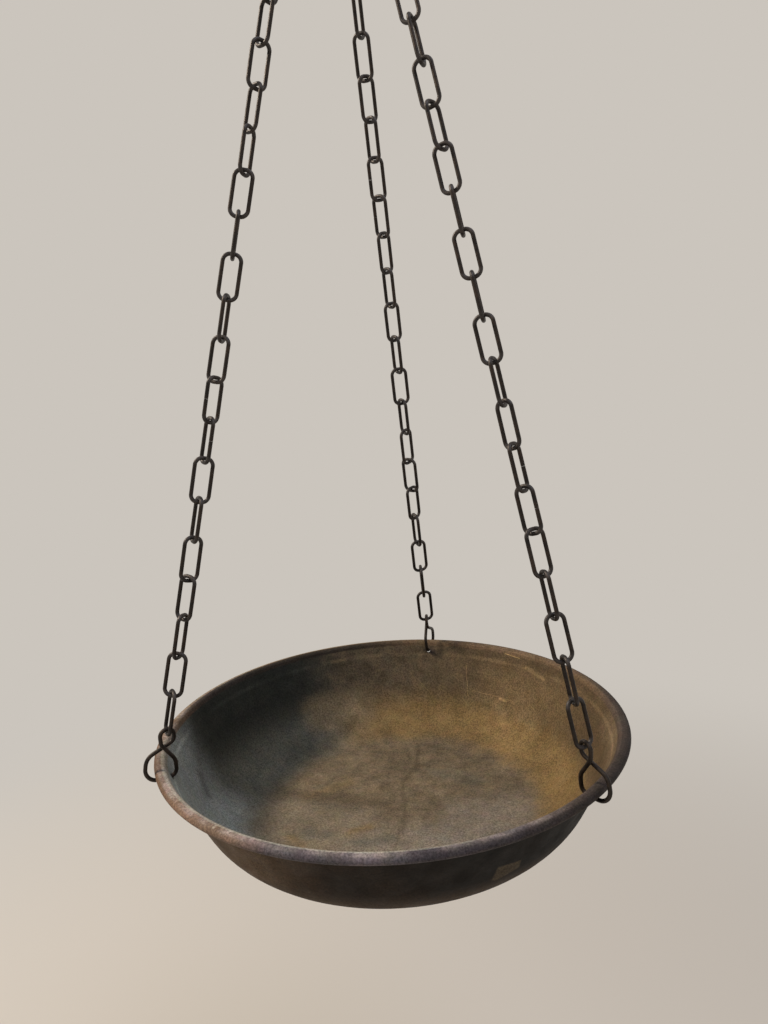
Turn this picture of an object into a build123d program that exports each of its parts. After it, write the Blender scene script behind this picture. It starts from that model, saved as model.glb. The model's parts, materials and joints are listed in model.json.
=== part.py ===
from build123d import *
import os
from math import asin, atan, cos, degrees, radians, sin, sqrt, tan

os.makedirs("parts", exist_ok=True)

# Hanging brass scale pan on three wire chains, in millimetres.
# +Z is up and the front is towards -Y. The origin is the seat in the top hook's upper bend.

# Chain links, bent from wire with a butt seam on one side
link_wire = 2.2
link_pitch = 22.0
link_width = 12.0
link_corner = 4.0
link_seam = 0.1
links_per_group = 2

# Play between wires that hang in one another, wider on the ring where the chains lie side by side
wire_gap = 0.2
ring_gap = 0.3

# Pan of sheet brass, its rim rolled outwards over a stiffening wire
rim_diameter = 286.0
sheet = 1.0
roll_width = 7.0
rim_wire = 3.0
rim_wire_play = 0.1
roll_slit = 0.35
pan_depth = 59.5
wall_lean = 26.0
base_corner = 46.5

# Rim hooks, each a figure eight bent from wire
hook_wire = 2.3
hook_eye = 7.8
hook_eye_height = 20.5
hook_eye_bend = 3.8
hook_lean = 5.6
hook_drop = 0.35
hook_waist = 6.2
hook_inside_room = 4.0
hook_outside_room = 5.0
hook_shoulder = 9.6
hook_shoulder_in = 2.8
hook_side_bend = 8.0
hook_inner_bend = 4.6
hook_outer_bend = 6.5
hook_seam = 0.2
hook_waist_share = 0.85
hook_shoulder_share = 0.6
hook_crown_share = 0.6
hole_play = 0.35

# Gather ring, standing upright in the XZ plane
ring_wire = 3.0
ring_inside = 22.0
ring_seam = 0.2

# Top hook, an open S in the YZ plane
top_wire = 3.5
top_upper_inside = 18.0
top_lower_inside = 12.0
top_length = 62.0
top_tip_turn = 12.0
top_tip_chamfer = 0.6

# Chains: direction on the rim, turn of the rim hook about the upright through its eye, the hand
# that its strands cross, and turn of each link about its chain from the rim up
chain_azimuth = {"left": 212.0, "back": 88.5, "right": 329.0}
hook_turn = {"left": 4.0, "back": -6.0, "right": -9.0}
hook_hand = {"left": 1, "back": 1, "right": -1}
link_turns = {
    "left": [9, 65, -35, 40, -70, 10, -85, 15, -55, 50, -25, 75, -10, 70, -40, 25, -75, 25, -65, 25]
    + [-60, 35, -50, 45, -40],
    "back": [25, -75, 30, -55, 55, -20, 60, -50, 30, -50, 45, -45, 60, -30, 45, -40, 50, -20, 80, -10]
    + [80, -10, 80, -10, 80],
    "right": [-20, 50, -35, 55, -25, -90, 5, 80, 15, -70, 30, -65, 30, -75, 0, -75, 20, -75, 15, -75]
    + [15, -75, 15, -75, 20],
}
links_per_chain = len(link_turns["left"])

# Rim roll and wall, measured from the middle of the roll
roll_height = rim_wire + 2 * (rim_wire_play + sheet)
roll_radius = rim_diameter / 2 - roll_width / 2
lean_sin = sin(radians(wall_lean))
lean_cos = cos(radians(wall_lean))
lean_tan = tan(radians(wall_lean))
roll_reach = sqrt((roll_width / 2 * lean_cos) ** 2 + (roll_height / 2 * lean_sin) ** 2)
wall_top_in = (
    roll_radius - (roll_width / 2) ** 2 * lean_cos / roll_reach,
    (roll_height / 2) ** 2 * lean_sin / roll_reach,
)
wall_top_out = (wall_top_in[0] + sheet * lean_cos, wall_top_in[1] - sheet * lean_sin)


def wall_out(height):
    return wall_top_out[0] + (height - wall_top_out[1]) * lean_tan


bend_height = base_corner * (1 - lean_sin) - pan_depth
base_radius = wall_out(bend_height) - base_corner * lean_cos

# Heights, from the seat at the top down to the rim
top_upper_radius = (top_upper_inside + top_wire) / 2
top_lower_radius = (top_lower_inside + top_wire) / 2
top_upper_height = -top_upper_inside / 2
top_lower_height = top_wire - top_length + top_wire / 2 + top_lower_radius
ring_radius = (ring_inside + ring_wire) / 2
ring_pivot = top_lower_height - top_lower_radius
ring_height = ring_pivot + top_wire / 2 + wire_gap + ring_wire / 2 - ring_radius
pan_pivot = ring_height - ring_radius
chain_span = links_per_chain * link_pitch + (hook_eye - hook_wire - ring_wire) / 2 - ring_gap
eye_radius = roll_radius - hook_lean
eye_height = pan_pivot - sqrt(chain_span**2 - eye_radius**2)
rim_height = eye_height - hook_eye_height


# Plane of one link: X across the link, Y up along the chain.
# The place of a chain on the ring makes the three chains equally long.
def link_plane(chain, number):
    azimuth = radians(chain_azimuth[chain])
    turn = 2 * atan(eye_radius * cos(azimuth) / (ring_height - eye_height))
    foot = Vector(eye_radius * cos(azimuth), eye_radius * sin(azimuth), eye_height)
    head = Vector(ring_radius * sin(turn), 0, ring_height - ring_radius * cos(turn))
    along = (head - foot).normalized()
    tangent = Vector(-sin(azimuth), cos(azimuth), 0)
    across = tangent.rotate(Axis((0, 0, 0), tuple(along)), link_turns[chain][number])
    middle = foot + along * (link_pitch * (number + 0.5) + (hook_eye - hook_wire - wire_gap) / 2)
    return Plane(origin=middle, x_dir=across, z_dir=across.cross(along))


# Pan: floor, corner, wall and rolled rim turned about the axis, then the three hook holes
hook_run = -(roll_height + hook_wire) / 2 - hook_drop
hole_radius = hook_wire / 2 + hole_play
hole_reach = wall_out(hook_run + hole_radius)
hole_length = sheet / lean_cos + 2 * hole_radius * lean_tan
with BuildPart() as pan:
    with BuildSketch(Plane(origin=(0, 0, rim_height), x_dir=(1, 0, 0), z_dir=(0, -1, 0))):
        with BuildLine():
            Line((0, -pan_depth), (base_radius, -pan_depth))
            outer_corner = CenterArc(
                (base_radius, base_corner - pan_depth), base_corner, -90, 90 - wall_lean
            )
            Polyline(outer_corner @ 1, wall_top_out, wall_top_in)
            inner_corner = CenterArc(
                (base_radius, base_corner - pan_depth), base_corner - sheet, -90, 90 - wall_lean
            )
            Line(wall_top_in, inner_corner @ 1)
            Polyline(inner_corner @ 0, (0, sheet - pan_depth), (0, -pan_depth))
        make_face()
        with Locations((roll_radius, 0)):
            Ellipse(roll_width / 2, roll_height / 2)
            Ellipse(roll_width / 2 - sheet, roll_height / 2 - sheet, mode=Mode.SUBTRACT)
        with Locations(Location((*wall_top_out, 0), (0, 0, -wall_lean))):
            Rectangle(
                roll_slit, roll_height / 2, align=(Align.MIN, Align.MAX), mode=Mode.SUBTRACT
            )
    revolve(axis=Axis.Z)
    # Each hole runs level along its turned hook, cut half a sheet past the wall at both ends
    for chain, azimuth in chain_azimuth.items():
        along = Vector(1, 0, 0).rotate(Axis.Z, azimuth + hook_turn[chain])
        under_eye = Vector(eye_radius, 0, rim_height + hook_run).rotate(Axis.Z, azimuth)
        hole_start = under_eye + along * (hole_reach - eye_radius + sheet / 2)
        with Locations(Plane(origin=hole_start, z_dir=along)):
            Hole(hole_radius, depth=hole_length + sheet)
pan.part.label = "pan"
export_step(pan.part, "parts/pan.step")

# Stiffening wire inside the rolled rim
with BuildPart() as wire_in_rim:
    with BuildSketch(Plane.XZ):
        with Locations((roll_radius, rim_height)):
            Circle(rim_wire / 2)
    revolve(axis=Axis.Z)
wire_in_rim.part.label = "rim_wire"
export_step(wire_in_rim.part, "parts/rim_wire.step")

# Figure-eight hook, X outwards and Z up from the middle of the rim roll.
# Its two strands pass each other at the waist, so they step apart sideways from the seam to the
# eye's foot and come together again over the eye. The shares say how far they have stepped.
strand_step = (hook_wire + wire_gap) / (2 * hook_waist_share)
shoulder_step = hook_shoulder_share * strand_step
crown_step = hook_crown_share * strand_step
hook_inside = roll_width / 2 + hook_wire / 2 + hook_inside_room
hook_outside = roll_width / 2 + hook_wire / 2 + hook_outside_room
eye_in = -hook_lean - hook_eye / 2
eye_out = -hook_lean + hook_eye / 2
eye_foot = hook_eye_height - hook_eye / 2
eye_top = hook_eye_height + hook_eye / 2
seam_place = (hook_outside - hook_inside) / 2
with BuildPart() as hook_shape:
    with BuildLine() as hook_path:
        FilletPolyline(
            (seam_place - hook_seam / 2, 0, hook_run),
            (-hook_inside, 0, hook_run),
            (-hook_inside, shoulder_step, hook_waist),
            (eye_out, strand_step, eye_foot),
            (eye_out, crown_step, eye_top),
            (eye_in, -crown_step, eye_top),
            (eye_in, -strand_step, eye_foot),
            (hook_outside - hook_shoulder_in, -shoulder_step, hook_shoulder),
            (hook_outside, 0, hook_run),
            (seam_place + hook_seam / 2, 0, hook_run),
            radius=[hook_inner_bend, hook_side_bend]
            + 4 * [hook_eye_bend]
            + [hook_side_bend, hook_outer_bend],
        )
    with BuildSketch(Plane(origin=hook_path.line @ 0, z_dir=hook_path.line % 0)):
        Circle(hook_wire / 2)
    sweep(path=hook_path.line)

with BuildPart() as other_hand:
    mirror(hook_shape.part, about=Plane.XZ)

for chain, azimuth in chain_azimuth.items():
    eye_place = Location((0, 0, rim_height), (0, 0, azimuth)) * Location((eye_radius, 0, 0))
    with BuildPart() as rim_hook:
        with Locations(eye_place * Location((0, 0, 0), (0, 0, hook_turn[chain]))):
            with Locations((hook_lean, 0, 0)):
                add(hook_shape.part if hook_hand[chain] > 0 else other_hand.part)
    rim_hook.part.label = f"{chain}_hook"
    export_step(rim_hook.part, f"parts/{chain}_hook.step")

# Chain link in the XY plane, and the links of each chain from the rim up
limb = (link_width - link_wire) / 2
crown = (link_pitch + wire_gap + link_wire) / 2
with BuildPart() as link_shape:
    with BuildLine() as link_path:
        FilletPolyline(
            (limb, link_seam / 2),
            (limb, crown),
            (-limb, crown),
            (-limb, -crown),
            (limb, -crown),
            (limb, -link_seam / 2),
            radius=link_corner,
        )
    with BuildSketch(Plane(origin=link_path.line @ 0, z_dir=link_path.line % 0)):
        Circle(link_wire / 2)
    sweep(path=link_path.line)

for chain in chain_azimuth:
    for first in range(0, links_per_chain, links_per_group):
        group = range(first, min(first + links_per_group, links_per_chain))
        with BuildPart() as links:
            with Locations(*[link_plane(chain, number) for number in group]):
                add(link_shape.part)
        name = f"{chain}_links_" + "_".join(f"{number + 1:02d}" for number in group)
        links.part.label = name
        export_step(links.part, f"parts/{name}.step")

# Gather ring with a butt seam at its side
seam_turn = degrees(ring_seam / ring_radius)
with BuildPart() as ring:
    with BuildSketch(Plane.XY.offset(ring_height).rotated((0, seam_turn / 2, 0))):
        with Locations((ring_radius, 0)):
            Circle(ring_wire / 2)
    revolve(axis=Axis((0, 0, ring_height), (0, 1, 0)), revolution_arc=360 - seam_turn)
ring.part.label = "gather_ring"
export_step(ring.part, "parts/gather_ring.step")

# Top hook: lower bend, slanting shank and upper bend, with both seats on the axis
bends_apart = top_upper_height - top_lower_height
shank_turn = degrees(asin((top_upper_radius + top_lower_radius) / bends_apart))
with BuildPart() as top_hook:
    with BuildLine(Plane.YZ) as top_path:
        lower_bend = CenterArc(
            (0, top_lower_height), top_lower_radius, 180 - top_tip_turn, 180 + top_tip_turn + shank_turn
        )
        upper_bend = CenterArc(
            (0, top_upper_height), top_upper_radius, 180 + shank_turn, -180 - top_tip_turn - shank_turn
        )
        Line(lower_bend @ 1, upper_bend @ 0)
    with BuildSketch(Plane(origin=top_path.wire() @ 0, z_dir=top_path.wire() % 0)):
        Circle(top_wire / 2)
    sweep(path=top_path.wire())
    chamfer(faces().filter_by(GeomType.PLANE).edges(), length=top_tip_chamfer)
top_hook.part.label = "top_hook"
export_step(top_hook.part, "parts/top_hook.step")
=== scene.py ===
import bpy
import json
from math import cos, pi, radians, sin, tan
from mathutils import Euler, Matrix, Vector


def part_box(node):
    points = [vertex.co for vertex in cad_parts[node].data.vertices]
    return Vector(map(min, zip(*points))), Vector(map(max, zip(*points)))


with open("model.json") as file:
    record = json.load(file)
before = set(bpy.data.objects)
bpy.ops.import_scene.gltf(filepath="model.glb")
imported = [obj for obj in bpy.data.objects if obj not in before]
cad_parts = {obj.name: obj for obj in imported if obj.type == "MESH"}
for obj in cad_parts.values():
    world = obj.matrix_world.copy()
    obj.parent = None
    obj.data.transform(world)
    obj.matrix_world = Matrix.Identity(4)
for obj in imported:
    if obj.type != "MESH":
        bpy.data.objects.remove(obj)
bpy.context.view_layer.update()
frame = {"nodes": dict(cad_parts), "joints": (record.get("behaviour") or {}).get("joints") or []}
print("frame loaded,", len(frame["nodes"]), "nodes")

scene = bpy.context.scene
scene.view_settings.view_transform = "Standard"
mmPerMetre = 1000.0
noiseMean = 0.5


def toLinear(hexColour):
    srgb = [int(hexColour[i:i + 2], 16) / 255 for i in (1, 3, 5)]
    return [c / 12.92 if c <= 0.04045 else ((c + 0.055) / 1.055) ** 2.4 for c in srgb] + [1.0]


# sockets go by name or number: a colour Mix node takes its share at 0 and its two colours at 6 and 7, and
# gives the mixed colour at 2
def addNode(tree, kind, inputs=None, ramp=None, **settings):
    node = tree.nodes.new(kind)
    for name, value in settings.items():
        setattr(node, name, value)
    for socket, value in (inputs or {}).items():
        if isinstance(value, bpy.types.NodeSocket):
            tree.links.new(value, node.inputs[socket])
        else:
            node.inputs[socket].default_value = value
    for number, (place, colour) in enumerate(ramp or []):
        stops = node.color_ramp.elements
        stop = stops[number] if number < 2 else stops.new(place)  # a new ramp has two stops of its own
        stop.position = place
        stop.color = toLinear(colour)
    return node


def newMaterial(name):
    material = bpy.data.materials.new(name)
    material.use_nodes = True
    material.node_tree.nodes.clear()
    return material, material.node_tree


def threeTones(tones, steps):
    dark, middle, light = zip(steps, tones)
    return [dark, light, middle]  # outer stops first


def direction(azimuth):
    return (cos(radians(azimuth)), sin(radians(azimuth)), 0.0)


# the pan's rim, read from the wire inside it, in metres
wireLow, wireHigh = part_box("rim_wire")
rimHeight = (wireLow.z + wireHigh.z) / 2
rollRadius = (wireHigh.x - wireLow.x) / 2 - (wireHigh.z - wireLow.z) / 2
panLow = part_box("pan")[0].z

# sheet brass spun to a bowl, its oxide dull and sandy after decades of use: olive tan on the floor, warm
# brown in the round corner, blue-black up one wall and deepened there by painted shade, and a rolled bead
# handled to a pinkish grey
brassPatina = {
    # dark, middle and light tone of each ground, and where they stand in the noise that mixes them
    "floor": ("#645846", "#6d604d", "#776853"), "wall": ("#554a39", "#5e5241", "#695a44"),
    "outside": ("#1c140d", "#241a11", "#2d2116"), "toneSteps": (0.36, 0.5, 0.66),
    "bead": ("#50494c", "#5b5456", "#675e60"), "beadSteps": (0.38, 0.5, 0.64),
    # noise: size in millimetres, detail, roughness, distortion
    "noises": {
        "blotch": (38.0, 3.0, 0.55, 0.0),
        "mottle": (12.0, 5.0, 0.62, 0.3),
        "grain": (1.05, 2.0, 0.7, 0.0),  # pitting is finer than this, drawn as coarse as shows
        "dent": (30.0, 1.0, 0.4, 0.0),
        "drift": (7.0, 4.0, 0.7, 0.0),
        "sway": (24.0, 4.0, 0.5, 0.0),
    },
    # wiping streaks on the floor: size along, across and up, turn in degrees, detail, roughness, distortion
    "streakMm": (52.0, 5.0, 20.0), "streakTurn": 14.0, "streakNoise": (3.0, 0.6, 0.5),
    "streakSpan": (0.5, 0.72), "streakShare": 0.5,
    # the bowl in millimetres, heights from the middle of the rim
    "wallRadius": 120.0, "wallLean": 26.0, "wallAtRim": 136.4, "wallTakesOver": (92.0, 138.0),
    "markedFloor": (98.0, 80.0), "markedWall": (108.0, 112.0), "riseCounts": 0.6, "wavyMm": 14.0,
    "insideFacing": (-0.15, 0.15),
    "rimLineAt": -6.6, "rimLineHalf": 2.2, "rimLinePaler": 1.65, "rimLinePatches": (0.35, 0.65),
    # half width and half height of the bead, and how far out its colour ends in shares of those
    "beadSemi": (3.5, 2.6), "beadEnds": (1.3, 1.06), "beadTilt": -0.4,
    # paler top of the bead: painted highlight
    "beadHighlight": "#a1948d", "crestFacing": (0.75, 1.0), "crestShare": 0.6, "crestPatches": (0.85, 1.15),
    # painted shade under the bead
    "beadShadeBelow": "#17120e", "shadeBelowSpan": (-0.4, -0.8), "shadeBelowShare": 0.9,
    # zones: tone, azimuth it faces, how far round it reaches (as cosines), share, then where it begins and
    # where it ends, in millimetres up the bowl from the middle of its floor
    "insideZones": [
        ("#82786b", 258, (-0.1, 0.75), 0.8, (0, 60), (115, 80)),
        ("#79623d", 45, (0.0, 0.6), 0.87, (82, 102), (146, 120)),
        ("#564632", 25, (0.2, 0.9), 0.8, (125, 145)),
        ("#72624d", 350, (0.9, 0.985), 0.7, (150, 166)),
        # next two: olive and blue-black tarnish on the left, partly painted shade where the rim's shadow
        # falls
        ("#585950", 162, (0.72, 0.95), 0.75, (78, 98)),
        ("#1d1f1b", 156, (0.76, 0.97), 0.88, (115, 150)),
        # pale blue-grey tarnish on the front-left wall, partly painted cool light from the right
        ("#989b94", 218, (0.78, 0.97), 0.85, (80, 112)),
        # lighter on the upper back-left wall: painted light where the lamp doesn't reach
        ("#8a785c", 123, (0.955, 0.998), 0.8, (108, 124), (148, 134)),
        ("#8a7350", 47, (0.9, 0.985), 0.33, (128, 140), (172, 150)),
        ("#6b5636", 58, (0.965, 0.997), 0.6, (110, 118), (132, 124)),
        ("#857b6f", 335, (0.6, 0.95), 0.6, (20, 45), (95, 75)),
        ("#786b54", 216, (0.8, 0.97), 0.5, (25, 45), (106, 90)),
    ],
    "outsideZones": [
        # painted shade on the right of the outside
        ("#0d0c0a", 325, (0.55, 0.95), 0.85, (60, 80)),
        # painted warm light on the front left of the outside
        ("#5f4b37", 222, (0.7, 0.96), 0.85, (60, 80)),
        # painted warm bounce light low down on the outside
        ("#45372a", 268, (0.3, 0.8), 0.75, (60, 70), (140, 122)),
    ],
    "beadPinks": [("#6a523e", 205, (0.55, 0.95), 0.9), ("#8a715e", 240, (0.95, 0.994), 0.65)],
    "beadBrowns": [("#6a563f", 60, (-0.5, 0.3), 0.92), ("#4a403b", 345, (0.75, 0.95), 0.8)],
    # the same, but with where it begins across the bead: about -1 at its inner side, 1 at its outer side
    "beadSides": [
        ("#38302c", 20, (-0.3, 0.5), 0.9, (-0.35, 0.35)),
        ("#3a322d", 355, (0.72, 0.95), 0.85, (-1.0, -0.6)),
        ("#8f7f68", 140, (0.6, 0.92), 0.75, (-0.55, -0.3)),
        # dark inner side of the bead at the back left: tarnish, deepened as painted shade
        ("#25221e", 140, (0.6, 0.92), 0.85, (-0.42, -0.7)),
        ("#aca697", 246, (0.45, 0.85), 0.72, (-0.35, -0.7)),
    ],
    # marks are short runs: their two ends, half width, share. On the floor the ends are in millimetres, on
    # the wall in degrees round and millimetres from the rim's height
    "marks": {
        "gold": {"on": "floor", "tone": "#7a643e", "swayMm": 14.0, "soft": 1.0, "runs": [
            ((-22, -33), (-12, -25), 5.5, 0.5), ((-57, -39), (-47, -47), 8.0, 0.4),
            ((-62, 6), (-40, 24), 10.0, 0.3)]},
        "cool": {"on": "floor", "tone": "#55544b", "swayMm": 14.0, "soft": 1.0, "runs": [
            ((-17, -42), (2, -34), 6.0, 0.5), ((-50, -33), (-35, -36), 8.0, 0.45),
            ((34, -29), (45, -13), 16.0, 0.2), ((20, 44), (48, 34), 12.0, 0.35)]},
        "stains": {"on": "floor", "tone": "#443a2c", "swayMm": 9.0, "soft": 1.0, "runs": [
            ((0, 82), (5, 48), 3.2, 0.4), ((-9, 76), (-3, 60), 3.0, 0.3), ((5, 48), (0, 29), 4.2, 0.45),
            ((0, 29), (7, -18), 3.0, 0.35), ((7, -18), (6, -46), 2.2, 0.3), ((-84, 7), (-12, 3), 13.0, 0.4),
            ((28, 26), (60, 14), 6.0, 0.2)]},
        # round the three hook holes: painted shadow of each hook, with grime; the last two runs darken the
        # left wall
        "grimeAndHookShadows": {"on": "wall", "tone": "#38302c", "swayMm": 2.0, "soft": 1.0, "runs": [
            ((89.2, -3.6), (86.6, -5.2), 3.4, 0.9), ((-147.8, -3.6), (-149.4, -5.2), 3.0, 0.6),
            ((-31.4, -3.6), (-30.2, -5.2), 3.0, 0.6), ((-167.4, -27), (-163.5, -37), 6.0, 0.45),
            ((-176, -16), (-170, -24), 8.0, 0.3)]},
        "glints": {"on": "wall", "tone": "#cbbfb2", "swayMm": 1.0, "soft": 1.0, "runs": [
            ((-116.6, 2.5), (-116.2, 2.5), 0.5, 0.5), ((-112.6, 2.5), (-112.3, 2.5), 0.45, 0.4),
            ((-107.0, 2.5), (-106.4, 2.5), 0.5, 0.45)]},
        # painted golden highlights just below the rim, at the back right and back left
        "goldHighlights": {"on": "wall", "tone": "#a08760", "swayMm": 4.0, "soft": 1.0, "runs": [
            ((53.0, -6.6), (45.0, -9.4), 2.4, 0.4), ((122.0, -6.2), (117.5, -6.6), 1.8, 0.22)]},
        "scratches": {"on": "wall", "tone": "#a08760", "swayMm": 2.0, "soft": 0.5, "runs": [
            ((74.8, -12.6), (72.8, -32.7), 0.3, 0.34), ((71.1, -28.8), (54.5, -30.3), 0.28, 0.26),
            ((60.0, -30.6), (57.2, -31.4), 0.9, 0.6), ((47.2, -28.3), (41.3, -33.1), 0.3, 0.32),
            # the second run on the next line, on the bead's inner face at the back right, is a painted golden
            # highlight
            ((91.3, -26.4), (87.5, -33.1), 0.3, 0.26), ((61.5, -0.6), (56.0, -1.6), 0.4, 0.6)]},
    },
    # pale patch on the outer wall, its corners in degrees round and millimetres from the rim's height
    "patch": "#4b4031", "patchEdge": 0.6,
    "patchCorners": [(-55.1, -25.2), (-48.6, -27.0), (-48.2, -32.9), (-54.1, -36.2), (-55.7, -35.0)],
    # how much each noise darkens and lightens the colour, and how far its hue wanders
    "shades": {"blotch": ((0.36, 0.64), (0.86, 1.14)), "mottle": ((0.34, 0.66), (0.93, 1.07)),
               "grain": ((0.33, 0.66), (0.58, 1.37))},
    "driftReach": (0.3, 0.24, 0.4), "driftFrom": (0.85, 0.88, 0.8),
    "metallic": 0.25, "bareMetallic": 0.6, "specular": 0.15,
    "roughness": (0.8, 0.58), "roughSpan": (0.3, 0.7), "dentDeepMm": 0.3, "pitDeepMm": 0.04,
}


def makeBrass(look):
    material, tree = newMaterial("patinated brass")
    coord = addNode(tree, "ShaderNodeTexCoord")
    facingWay = coord.outputs["Normal"]
    place = addNode(tree, "ShaderNodeVectorMath", {0: coord.outputs["Object"], "Scale": mmPerMetre},
                    operation="SCALE").outputs[0]
    place = addNode(tree, "ShaderNodeVectorMath", {0: place, 1: (0, 0, -mmPerMetre * rimHeight)},
                    operation="ADD").outputs[0]  # millimetres from the middle of the rim
    flat = addNode(tree, "ShaderNodeVectorMath", {0: place, 1: (1, 1, 0)}, operation="MULTIPLY").outputs[0]
    radius = addNode(tree, "ShaderNodeVectorMath", {0: flat}, operation="LENGTH").outputs["Value"]
    outward = addNode(tree, "ShaderNodeVectorMath", {0: flat}, operation="NORMALIZE").outputs[0]
    split = addNode(tree, "ShaderNodeSeparateXYZ", {0: place})
    height = split.outputs["Z"]
    aroundMm = addNode(tree, "ShaderNodeMath", {0: split.outputs["Y"], 1: split.outputs["X"]},
                       operation="ARCTAN2").outputs[0]
    aroundMm = addNode(tree, "ShaderNodeMath", {0: aroundMm, 1: look["wallRadius"]},
                       operation="MULTIPLY").outputs[0]
    unrolled = addNode(tree, "ShaderNodeCombineXYZ", {"X": aroundMm, "Y": height}).outputs[0]
    degreeMm = radians(look["wallRadius"])  # one degree round the wall laid flat

    noise = {}
    for name, (sizeMm, detail, roughness, distortion) in look["noises"].items():
        noise[name] = addNode(tree, "ShaderNodeTexNoise", {
            "Vector": place, "Scale": 1 / sizeMm, "Detail": detail, "Roughness": roughness,
            "Distortion": distortion})
    blotch, mottle, grain, dent = [
        noise[name].outputs["Fac"] for name in ("blotch", "mottle", "grain", "dent")]
    uneven = addNode(tree, "ShaderNodeMath", {0: mottle, 1: blotch}, operation="ADD").outputs[0]  # about 1

    # way up the bowl from the middle of its floor, wavy so that no zone ends in a clean circle
    floorHeight = mmPerMetre * (panLow - rimHeight)
    upBowl = addNode(tree, "ShaderNodeMath", {0: height, 1: floorHeight}, operation="SUBTRACT").outputs[0]
    upBowl = addNode(tree, "ShaderNodeMath", {0: upBowl, 1: look["riseCounts"], 2: radius},
                     operation="MULTIPLY_ADD").outputs[0]
    upBowl = addNode(tree, "ShaderNodeMath", {0: uneven, 1: look["wavyMm"], 2: upBowl},
                     operation="MULTIPLY_ADD").outputs[0]
    upBowl = addNode(tree, "ShaderNodeMath", {0: upBowl, 1: look["wavyMm"]}, operation="SUBTRACT").outputs[0]

    # inside of the bowl or outside: which way the surface faces, and on which side of the wall it lies
    upAndIn = addNode(tree, "ShaderNodeVectorMath", {0: (0, 0, 1), 1: outward},
                      operation="SUBTRACT").outputs[0]
    facing = addNode(tree, "ShaderNodeVectorMath", {0: facingWay, 1: upAndIn},
                     operation="DOT_PRODUCT").outputs["Value"]
    inside = addNode(tree, "ShaderNodeMapRange", {
        "Value": facing, "From Min": look["insideFacing"][0], "From Max": look["insideFacing"][1]}).outputs[0]
    leaning = addNode(tree, "ShaderNodeMath", {0: height, 1: -tan(radians(look["wallLean"])), 2: radius},
                      operation="MULTIPLY_ADD").outputs[0]  # the same all the way up the leaning wall
    within = addNode(tree, "ShaderNodeMath", {0: leaning, 1: look["wallAtRim"]},
                     operation="LESS_THAN").outputs[0]
    within = addNode(tree, "ShaderNodeMath", {0: within, 1: inside}, operation="MULTIPLY").outputs[0]

    # the rolled bead, as an ellipse round the middle of its wire
    halfWidth, halfHeight = look["beadSemi"]
    beadX = addNode(tree, "ShaderNodeMath", {0: radius, 1: -mmPerMetre * rollRadius},
                    operation="ADD").outputs[0]
    beadX = addNode(tree, "ShaderNodeMath", {0: beadX, 1: halfWidth}, operation="DIVIDE").outputs[0]
    beadZ = addNode(tree, "ShaderNodeMath", {0: height, 1: halfHeight}, operation="DIVIDE").outputs[0]
    beadAway = addNode(tree, "ShaderNodeCombineXYZ", {"X": beadX, "Y": beadZ}).outputs[0]
    beadAway = addNode(tree, "ShaderNodeVectorMath", {0: beadAway}, operation="LENGTH").outputs["Value"]
    onBead = addNode(tree, "ShaderNodeMapRange", {
        "Value": beadAway, "From Min": look["beadEnds"][0], "From Max": look["beadEnds"][1]},
        interpolation_type="SMOOTHSTEP").outputs[0]
    across = addNode(tree, "ShaderNodeMath", {0: beadZ, 1: look["beadTilt"], 2: beadX},
                     operation="MULTIPLY_ADD").outputs[0]

    # zones of oxide, each facing one way round the bowl
    def addZones(ground, zones, measure):
        for tone, azimuth, reach, share, *spans in zones:
            side = addNode(tree, "ShaderNodeVectorMath", {0: outward, 1: direction(azimuth)},
                           operation="DOT_PRODUCT").outputs["Value"]
            cover = addNode(tree, "ShaderNodeMapRange", {
                "Value": side, "From Min": reach[0], "From Max": reach[1], "To Max": share},
                interpolation_type="SMOOTHSTEP").outputs[0]
            for start, end in spans:
                edge = addNode(tree, "ShaderNodeMapRange", {
                    "Value": measure, "From Min": start, "From Max": end},
                    interpolation_type="SMOOTHSTEP").outputs[0]
                cover = addNode(tree, "ShaderNodeMath", {0: cover, 1: edge}, operation="MULTIPLY").outputs[0]
            ground = addNode(tree, "ShaderNodeMix", {0: cover, 6: ground, 7: toLinear(tone)},
                             data_type="RGBA").outputs[2]
        return ground

    # floor and wall inside, three tones each, with faint wiping streaks on the floor
    streakPlace = addNode(tree, "ShaderNodeMapping", {
        "Vector": place, "Rotation": (0, 0, radians(look["streakTurn"])),
        "Scale": [1 / size for size in look["streakMm"]]}).outputs[0]
    detail, roughness, distortion = look["streakNoise"]
    streak = addNode(tree, "ShaderNodeTexNoise", {
        "Vector": streakPlace, "Scale": 1.0, "Detail": detail, "Roughness": roughness,
        "Distortion": distortion}).outputs["Fac"]
    streak = addNode(tree, "ShaderNodeMapRange", {
        "Value": streak, "From Min": look["streakSpan"][0], "From Max": look["streakSpan"][1],
        "To Max": look["streakShare"]}).outputs[0]
    floorColour = addNode(tree, "ShaderNodeValToRGB", {0: mottle},
                          ramp=threeTones(look["floor"], look["toneSteps"])).outputs[0]
    floorColour = addNode(tree, "ShaderNodeMix", {0: streak, 6: floorColour, 7: toLinear(look["floor"][2])},
                          data_type="RGBA").outputs[2]
    wallColour = addNode(tree, "ShaderNodeValToRGB", {0: mottle},
                         ramp=threeTones(look["wall"], look["toneSteps"])).outputs[0]
    upWall = addNode(tree, "ShaderNodeMapRange", {
        "Value": upBowl, "From Min": look["wallTakesOver"][0], "From Max": look["wallTakesOver"][1]},
        interpolation_type="SMOOTHSTEP").outputs[0]
    colour = addNode(tree, "ShaderNodeMix", {0: upWall, 6: floorColour, 7: wallColour},
                     data_type="RGBA").outputs[2]
    colour = addZones(colour, look["insideZones"], upBowl)

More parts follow.
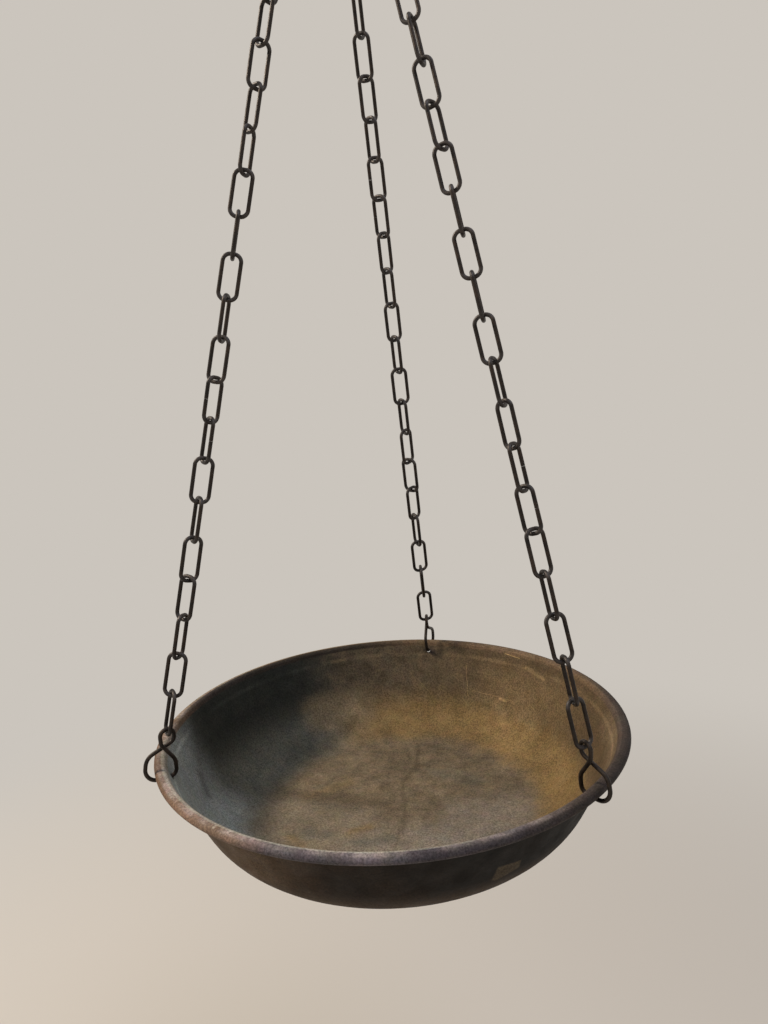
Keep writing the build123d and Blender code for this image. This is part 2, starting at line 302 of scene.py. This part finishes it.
    # faint paler line where the roll begins, a little below the rim: a painted highlight along that
    # edge, in patches
    line = addNode(tree, "ShaderNodeMath", {0: height, 1: look["rimLineAt"]}, operation="SUBTRACT").outputs[0]
    line = addNode(tree, "ShaderNodeMath", {0: line}, operation="ABSOLUTE").outputs[0]
    line = addNode(tree, "ShaderNodeMapRange", {
        "Value": line, "From Min": look["rimLineHalf"], "From Max": 0.0},
        interpolation_type="SMOOTHSTEP").outputs[0]
    inPatches = addNode(tree, "ShaderNodeMapRange", {
        "Value": blotch, "From Min": look["rimLinePatches"][0], "From Max": look["rimLinePatches"][1]}).outputs[0]
    line = addNode(tree, "ShaderNodeMath", {0: line, 1: inPatches}, operation="MULTIPLY").outputs[0]
    paler = addNode(tree, "ShaderNodeVectorMath", {0: colour, "Scale": look["rimLinePaler"]},
                    operation="SCALE").outputs[0]
    colour = addNode(tree, "ShaderNodeMix", {0: line, 6: colour, 7: paler}, data_type="RGBA").outputs[2]

    # outside: dark brown, near black on the right as painted shade, warmer on the front left and low down as
    # painted warm light, with one pale angular patch
    outColour = addNode(tree, "ShaderNodeValToRGB", {0: blotch},
                        ramp=threeTones(look["outside"], look["toneSteps"])).outputs[0]
    outColour = addZones(outColour, look["outsideZones"], upBowl)
    corners = [Vector((around * degreeMm, rise, 0)) for around, rise in look["patchCorners"]]
    past = None
    for start, end in zip(corners, corners[1:] + corners[:1]):
        square = Vector((start.y - end.y, end.x - start.x, 0)).normalized()  # out over this edge
        beyond = addNode(tree, "ShaderNodeVectorMath", {0: unrolled, 1: square},
                         operation="DOT_PRODUCT").outputs["Value"]
        beyond = addNode(tree, "ShaderNodeMath", {0: beyond, 1: square.dot(start)},
                         operation="SUBTRACT").outputs[0]
        past = beyond if past is None else addNode(tree, "ShaderNodeMath", {0: past, 1: beyond},
                                                   operation="MAXIMUM").outputs[0]
    patch = addNode(tree, "ShaderNodeMapRange", {
        "Value": past, "From Min": look["patchEdge"], "From Max": -look["patchEdge"]}).outputs[0]
    outColour = addNode(tree, "ShaderNodeMix", {0: patch, 6: outColour, 7: toLinear(look["patch"])},
                        data_type="RGBA").outputs[2]
    colour = addNode(tree, "ShaderNodeMix", {0: within, 6: outColour, 7: colour},
                     data_type="RGBA").outputs[2]

    # bead: mauve grey, pinker on the left where hands take it, paler along its top as a painted highlight,
    # brown at the back and right, paler or darker along one side here and there (at the back left partly
    # painted shade), and painted shade underneath
    beadColour = addNode(tree, "ShaderNodeValToRGB", {0: blotch},
                         ramp=threeTones(look["bead"], look["beadSteps"])).outputs[0]
    beadColour = addZones(beadColour, look["beadPinks"], upBowl)
    # paler where the bead faces up: a painted highlight along its top, in patches
    faceUp = addNode(tree, "ShaderNodeSeparateXYZ", {0: facingWay}).outputs["Z"]
    crest = addNode(tree, "ShaderNodeMapRange", {
        "Value": faceUp, "From Min": look["crestFacing"][0], "From Max": look["crestFacing"][1],
        "To Max": look["crestShare"]}, interpolation_type="SMOOTHSTEP").outputs[0]
    inPatches = addNode(tree, "ShaderNodeMapRange", {
        "Value": uneven, "From Min": look["crestPatches"][0], "From Max": look["crestPatches"][1]}).outputs[0]
    crest = addNode(tree, "ShaderNodeMath", {0: crest, 1: inPatches}, operation="MULTIPLY").outputs[0]
    beadColour = addNode(tree, "ShaderNodeMix", {0: crest, 6: beadColour, 7: toLinear(look["beadHighlight"])},
                         data_type="RGBA").outputs[2]
    beadColour = addZones(beadColour, look["beadBrowns"], upBowl)
    beadColour = addZones(beadColour, look["beadSides"], across)
    # painted shade on the lower half of the bead
    shadeBelow = addNode(tree, "ShaderNodeMapRange", {
        "Value": beadZ, "From Min": look["shadeBelowSpan"][0], "From Max": look["shadeBelowSpan"][1],
        "To Max": look["shadeBelowShare"]}, interpolation_type="SMOOTHSTEP").outputs[0]
    beadColour = addNode(tree, "ShaderNodeMix", {0: shadeBelow, 6: beadColour, 7: toLinear(look["beadShadeBelow"])},
                         data_type="RGBA").outputs[2]
    colour = addNode(tree, "ShaderNodeMix", {0: onBead, 6: colour, 7: beadColour},
                     data_type="RGBA").outputs[2]

    # marks inside, drawn by the distance to short runs that sway a little
    sway = addNode(tree, "ShaderNodeVectorMath", {0: noise["sway"].outputs["Color"], 1: [-noiseMean] * 3},
                   operation="ADD").outputs[0]
    onFloor, onWall = [addNode(tree, "ShaderNodeMapRange", {
        "Value": radius, "From Min": look[span][0], "From Max": look[span][1]}).outputs[0]
        for span in ("markedFloor", "markedWall")]
    surfaces = {"floor": (flat, onFloor, 1.0), "wall": (unrolled, onWall, degreeMm)}
    drawn = {}
    for name, mark in look["marks"].items():
        surface, where, unitMm = surfaces[mark["on"]]
        swayReach = (mark["swayMm"], mark["swayMm"], 0.0)
        swayed = addNode(tree, "ShaderNodeVectorMath", {0: sway, 1: swayReach, 2: surface},
                         operation="MULTIPLY_ADD").outputs[0]
        cover = None
        for *ends, half, share in mark["runs"]:
            start, end = [Vector((x * unitMm, y, 0)) for x, y in ends]
            run = end - start
            fromStart = addNode(tree, "ShaderNodeVectorMath", {0: swayed, 1: start},
                                operation="SUBTRACT").outputs[0]
            fromStart = addNode(tree, "ShaderNodeVectorMath", {0: fromStart, 1: (1, 1, 0)},
                                operation="MULTIPLY").outputs[0]
            along = addNode(tree, "ShaderNodeVectorMath", {0: fromStart, 1: run / run.length_squared},
                            operation="DOT_PRODUCT").outputs["Value"]
            along = addNode(tree, "ShaderNodeClamp", {0: along}).outputs[0]
            nearest = addNode(tree, "ShaderNodeVectorMath", {0: run, "Scale": along},
                              operation="SCALE").outputs[0]
            away = addNode(tree, "ShaderNodeVectorMath", {0: fromStart, 1: nearest},
                           operation="DISTANCE").outputs["Value"]
            touch = addNode(tree, "ShaderNodeMapRange", {
                "Value": away, "From Min": half, "From Max": half * (1 - mark["soft"]), "To Max": share},
                interpolation_type="SMOOTHSTEP").outputs[0]
            cover = touch if cover is None else addNode(tree, "ShaderNodeMath", {0: cover, 1: touch},
                                                        operation="MAXIMUM").outputs[0]
        for mask in (where, inside, uneven):
            cover = addNode(tree, "ShaderNodeMath", {0: cover, 1: mask}, operation="MULTIPLY",
                            use_clamp=True).outputs[0]
        drawn[name] = cover
        colour = addNode(tree, "ShaderNodeMix", {0: cover, 6: colour, 7: toLinear(mark["tone"])},
                         data_type="RGBA").outputs[2]

    # uneven oxide in soft patches, sandy pitting all over, and a hue between olive and red-brown
    for name, (span, shades) in look["shades"].items():
        shade = addNode(tree, "ShaderNodeMapRange", {
            "Value": noise[name].outputs["Fac"], "From Min": span[0], "From Max": span[1],
            "To Min": shades[0], "To Max": shades[1]}).outputs[0]
        colour = addNode(tree, "ShaderNodeVectorMath", {0: colour, "Scale": shade},
                         operation="SCALE").outputs[0]
    drift = addNode(tree, "ShaderNodeVectorMath", {
        0: noise["drift"].outputs["Color"], 1: look["driftReach"], 2: look["driftFrom"]},
        operation="MULTIPLY_ADD").outputs[0]
    colour = addNode(tree, "ShaderNodeVectorMath", {0: colour, 1: drift}, operation="MULTIPLY").outputs[0]

    metal = addNode(tree, "ShaderNodeMath", {0: within, 1: look["metallic"]}, operation="MULTIPLY").outputs[0]
    metal = addNode(tree, "ShaderNodeMath", {0: drawn["scratches"], 1: look["bareMetallic"], 2: metal},
                    operation="MULTIPLY_ADD", use_clamp=True).outputs[0]
    rough = addNode(tree, "ShaderNodeMapRange", {
        "Value": mottle, "From Min": look["roughSpan"][0], "From Max": look["roughSpan"][1],
        "To Min": look["roughness"][0], "To Max": look["roughness"][1]}).outputs[0]
    relief = addNode(tree, "ShaderNodeMath", {0: grain, 1: look["pitDeepMm"]},
                     operation="MULTIPLY").outputs[0]
    relief = addNode(tree, "ShaderNodeMath", {0: dent, 1: look["dentDeepMm"], 2: relief},
                     operation="MULTIPLY_ADD").outputs[0]
    bump = addNode(tree, "ShaderNodeBump", {
        "Height": relief, "Distance": 1 / mmPerMetre, "Strength": 1.0}).outputs[0]
    shader = addNode(tree, "ShaderNodeBsdfPrincipled", {
        "Base Color": colour, "Metallic": metal, "Roughness": rough, "Normal": bump,
        "Specular IOR Level": look["specular"]})
    addNode(tree, "ShaderNodeOutputMaterial", {"Surface": shader.outputs[0]})
    return material


# drawn iron wire, oxidised black-brown by age: almost no colour, a low sheen, and paler rubbed metal only
# where link hangs in link, which also stands as a painted highlight on those joints
ironWire = {
    "oxide": ("#1b1714", "#2b231d", "#3d3026"), "toneSteps": (0.36, 0.5, 0.66), "rubbedAndSheen": "#625e5d",
    "scaleMm": 2.4, "patchMm": 9.0, "noise": (3.0, 0.6),  # detail and roughness of both
    "pitchMm": 22.0, "rubAndSheenMm": (3.2, 0.8), "rubAndSheenShare": 0.6,
    "metallic": 0.55, "roughness": (0.38, 0.6), "roughSpan": (0.3, 0.7), "scaleDeepMm": 0.12,
}


def makeIron(name, look, chainLine=None):
    material, tree = newMaterial(name)
    coord = addNode(tree, "ShaderNodeTexCoord")
    place = addNode(tree, "ShaderNodeVectorMath", {0: coord.outputs["Object"], "Scale": mmPerMetre},
                    operation="SCALE").outputs[0]
    detail, roughness = look["noise"]
    scale, patch = [addNode(tree, "ShaderNodeTexNoise", {
        "Vector": place, "Scale": 1 / look[size], "Detail": detail, "Roughness": roughness}).outputs["Fac"]
        for size in ("scaleMm", "patchMm")]
    tone = addNode(tree, "ShaderNodeMath", {0: scale, 1: patch}, operation="ADD").outputs[0]
    tone = addNode(tree, "ShaderNodeMath", {0: tone, 1: 0.5}, operation="MULTIPLY").outputs[0]  # mean of both
    colour = addNode(tree, "ShaderNodeValToRGB", {0: tone},
                     ramp=threeTones(look["oxide"], look["toneSteps"])).outputs[0]
    # paler where link hangs in link: rubbed metal and a painted highlight
    if chainLine:
        middle, axis = [Vector(part) for part in chainLine]  # middle of one link and the way its chain runs
        along = addNode(tree, "ShaderNodeVectorMath", {0: place, 1: axis},
                        operation="DOT_PRODUCT").outputs["Value"]
        along = addNode(tree, "ShaderNodeMath", {0: along, 1: mmPerMetre * axis.dot(middle)},
                        operation="SUBTRACT").outputs[0]
        toMeeting = addNode(tree, "ShaderNodeMath", {0: along, 1: look["pitchMm"] / 2},
                            operation="ADD").outputs[0]
        for fold in (look["pitchMm"], look["pitchMm"] / 2):
            toMeeting = addNode(tree, "ShaderNodeMath", {0: toMeeting, 1: fold},
                                operation="PINGPONG").outputs[0]
        rubAndSheen = addNode(tree, "ShaderNodeMapRange", {
            "Value": toMeeting, "From Min": look["rubAndSheenMm"][0], "From Max": look["rubAndSheenMm"][1],
            "To Max": look["rubAndSheenShare"]}, interpolation_type="SMOOTHSTEP").outputs[0]
        rubAndSheen = addNode(tree, "ShaderNodeMath", {0: rubAndSheen, 1: scale}, operation="MULTIPLY").outputs[0]
        colour = addNode(tree, "ShaderNodeMix", {0: rubAndSheen, 6: colour, 7: toLinear(look["rubbedAndSheen"])},
                         data_type="RGBA").outputs[2]
    rough = addNode(tree, "ShaderNodeMapRange", {
        "Value": scale, "From Min": look["roughSpan"][0], "From Max": look["roughSpan"][1],
        "To Min": look["roughness"][0], "To Max": look["roughness"][1]}).outputs[0]
    relief = addNode(tree, "ShaderNodeMath", {0: scale, 1: look["scaleDeepMm"]},
                     operation="MULTIPLY").outputs[0]
    bump = addNode(tree, "ShaderNodeBump", {
        "Height": relief, "Distance": 1 / mmPerMetre, "Strength": 1.0}).outputs[0]
    shader = addNode(tree, "ShaderNodeBsdfPrincipled", {
        "Base Color": colour, "Metallic": look["metallic"], "Roughness": rough, "Normal": bump})
    addNode(tree, "ShaderNodeOutputMaterial", {"Surface": shader.outputs[0]})
    return material


brass = makeBrass(brassPatina)
iron = makeIron("oxidised iron wire", ironWire)
chainIron = {}
for joint in frame["joints"]:
    if joint["name"].endswith("_chain_twist"):  # it lies on the middle link of its chain
        side = joint["name"].split("_")[0]
        chainIron[side] = makeIron("oxidised iron chain, " + side, ironWire, (joint["pos_m"], joint["axis"]))
for name, node in frame["nodes"].items():
    material = brass if name == "pan" else chainIron[name.split("_")[0]] if "_links_" in name else iron
    node.data.materials.clear()
    node.data.materials.append(material)
print("materials on", len(frame["nodes"]), "nodes")

# plain pale floor well below the hanging pan, fading into the background
floorLook = {
    "colour": "#d6d0c7", "background": "#cbc5bd",
    "below": 0.45, "radius": 6.0, "sides": 96, "fade": (0.4, 1.4),
}


def makeFloor(look):
    mesh = bpy.data.meshes.new("paleFloor")
    turns = [2 * pi * i / look["sides"] for i in range(look["sides"])]
    ring = [(look["radius"] * cos(turn), look["radius"] * sin(turn), 0.0) for turn in turns]
    mesh.from_pydata(ring, [], [list(range(look["sides"]))])
    floor = bpy.data.objects.new("paleFloor", mesh)
    floor.location.z = panLow - look["below"]
    scene.collection.objects.link(floor)
    material, tree = newMaterial("matt painted floor")
    coord = addNode(tree, "ShaderNodeTexCoord")
    away = addNode(tree, "ShaderNodeVectorMath", {0: coord.outputs["Object"]},
                   operation="LENGTH").outputs["Value"]
    fade = addNode(tree, "ShaderNodeMapRange", {
        "Value": away, "From Min": look["fade"][0], "From Max": look["fade"][1]},
        interpolation_type="SMOOTHSTEP").outputs[0]
    paint = addNode(tree, "ShaderNodeBsdfDiffuse", {"Color": toLinear(look["colour"])})
    far = addNode(tree, "ShaderNodeEmission", {"Color": toLinear(look["background"])})
    mix = addNode(tree, "ShaderNodeMixShader", {0: fade, 1: paint.outputs[0], 2: far.outputs[0]})
    addNode(tree, "ShaderNodeOutputMaterial", {"Surface": mix.outputs[0]})
    mesh.materials.append(material)


makeFloor(floorLook)
print("floor made")

# soft studio light: a warm lamp from the left, a wide weak cool fill high on the front right, and pale
# surroundings
lamps = {
    "key": {"azimuth": 183, "elevation": 44, "away": 3.0, "size": 0.6, "watts": 78.0, "colour": "#fff1de"},
    "fill": {"azimuth": 330, "elevation": 64, "away": 3.0, "size": 2.0, "watts": 26.0, "colour": "#dbe6ff"},
}
aimBelowRim = 0.03
aim = Vector((0, 0, rimHeight - aimBelowRim))
for name, lamp in lamps.items():
    light = bpy.data.lights.new(name, "AREA")
    light.shape = "DISK"
    light.size = lamp["size"]
    light.energy = lamp["watts"]
    light.color = toLinear(lamp["colour"])[:3]
    toLamp = Vector(direction(lamp["azimuth"])) * cos(radians(lamp["elevation"]))
    toLamp.z = sin(radians(lamp["elevation"]))
    holder = bpy.data.objects.new(name, light)
    holder.location = aim + toLamp * lamp["away"]
    holder.rotation_euler = toLamp.to_track_quat("Z", "Y").to_euler()
    scene.collection.objects.link(holder)

surroundings = {"light": "#c9cacc", "strength": 0.36}
world = bpy.data.worlds.new("pale surroundings")
world.use_nodes = True
world.node_tree.nodes.clear()
scene.world = world
rays = addNode(world.node_tree, "ShaderNodeLightPath").outputs
seen = addNode(world.node_tree, "ShaderNodeMath", {0: rays["Is Camera Ray"], 1: rays["Is Glossy Ray"]},
               operation="ADD")
seen = addNode(world.node_tree, "ShaderNodeMath", {0: seen.outputs[0], 1: rays["Is Transmission Ray"]},
               operation="ADD", use_clamp=True)
ambient = addNode(world.node_tree, "ShaderNodeBackground", {
    "Color": toLinear(surroundings["light"]), "Strength": surroundings["strength"]})
backdrop = addNode(world.node_tree, "ShaderNodeBackground", {"Color": toLinear(floorLook["background"])})
shown = addNode(world.node_tree, "ShaderNodeMixShader", {
    0: seen.outputs[0], 1: ambient.outputs[0], 2: backdrop.outputs[0]})
addNode(world.node_tree, "ShaderNodeOutputWorld", {"Surface": shown.outputs[0]})
print("lamps and surroundings set")

# camera at the photograph's angle, a wide lens close to the pan
cameraPlace = {
    "at": (0.09955, -0.43531, -0.42386), "turn": (80.165, 3.744, 11.698),
    "lens": 26.72, "sensor": 36.0, "nearest": 0.01,
}
camera = bpy.data.objects.new("camera", bpy.data.cameras.new("camera"))
camera.location = cameraPlace["at"]
camera.rotation_euler = Euler([radians(turn) for turn in cameraPlace["turn"]])
camera.data.lens = cameraPlace["lens"]
camera.data.sensor_width = cameraPlace["sensor"]
camera.data.clip_start = cameraPlace["nearest"]
scene.collection.objects.link(camera)
scene.camera = camera
print("camera set")
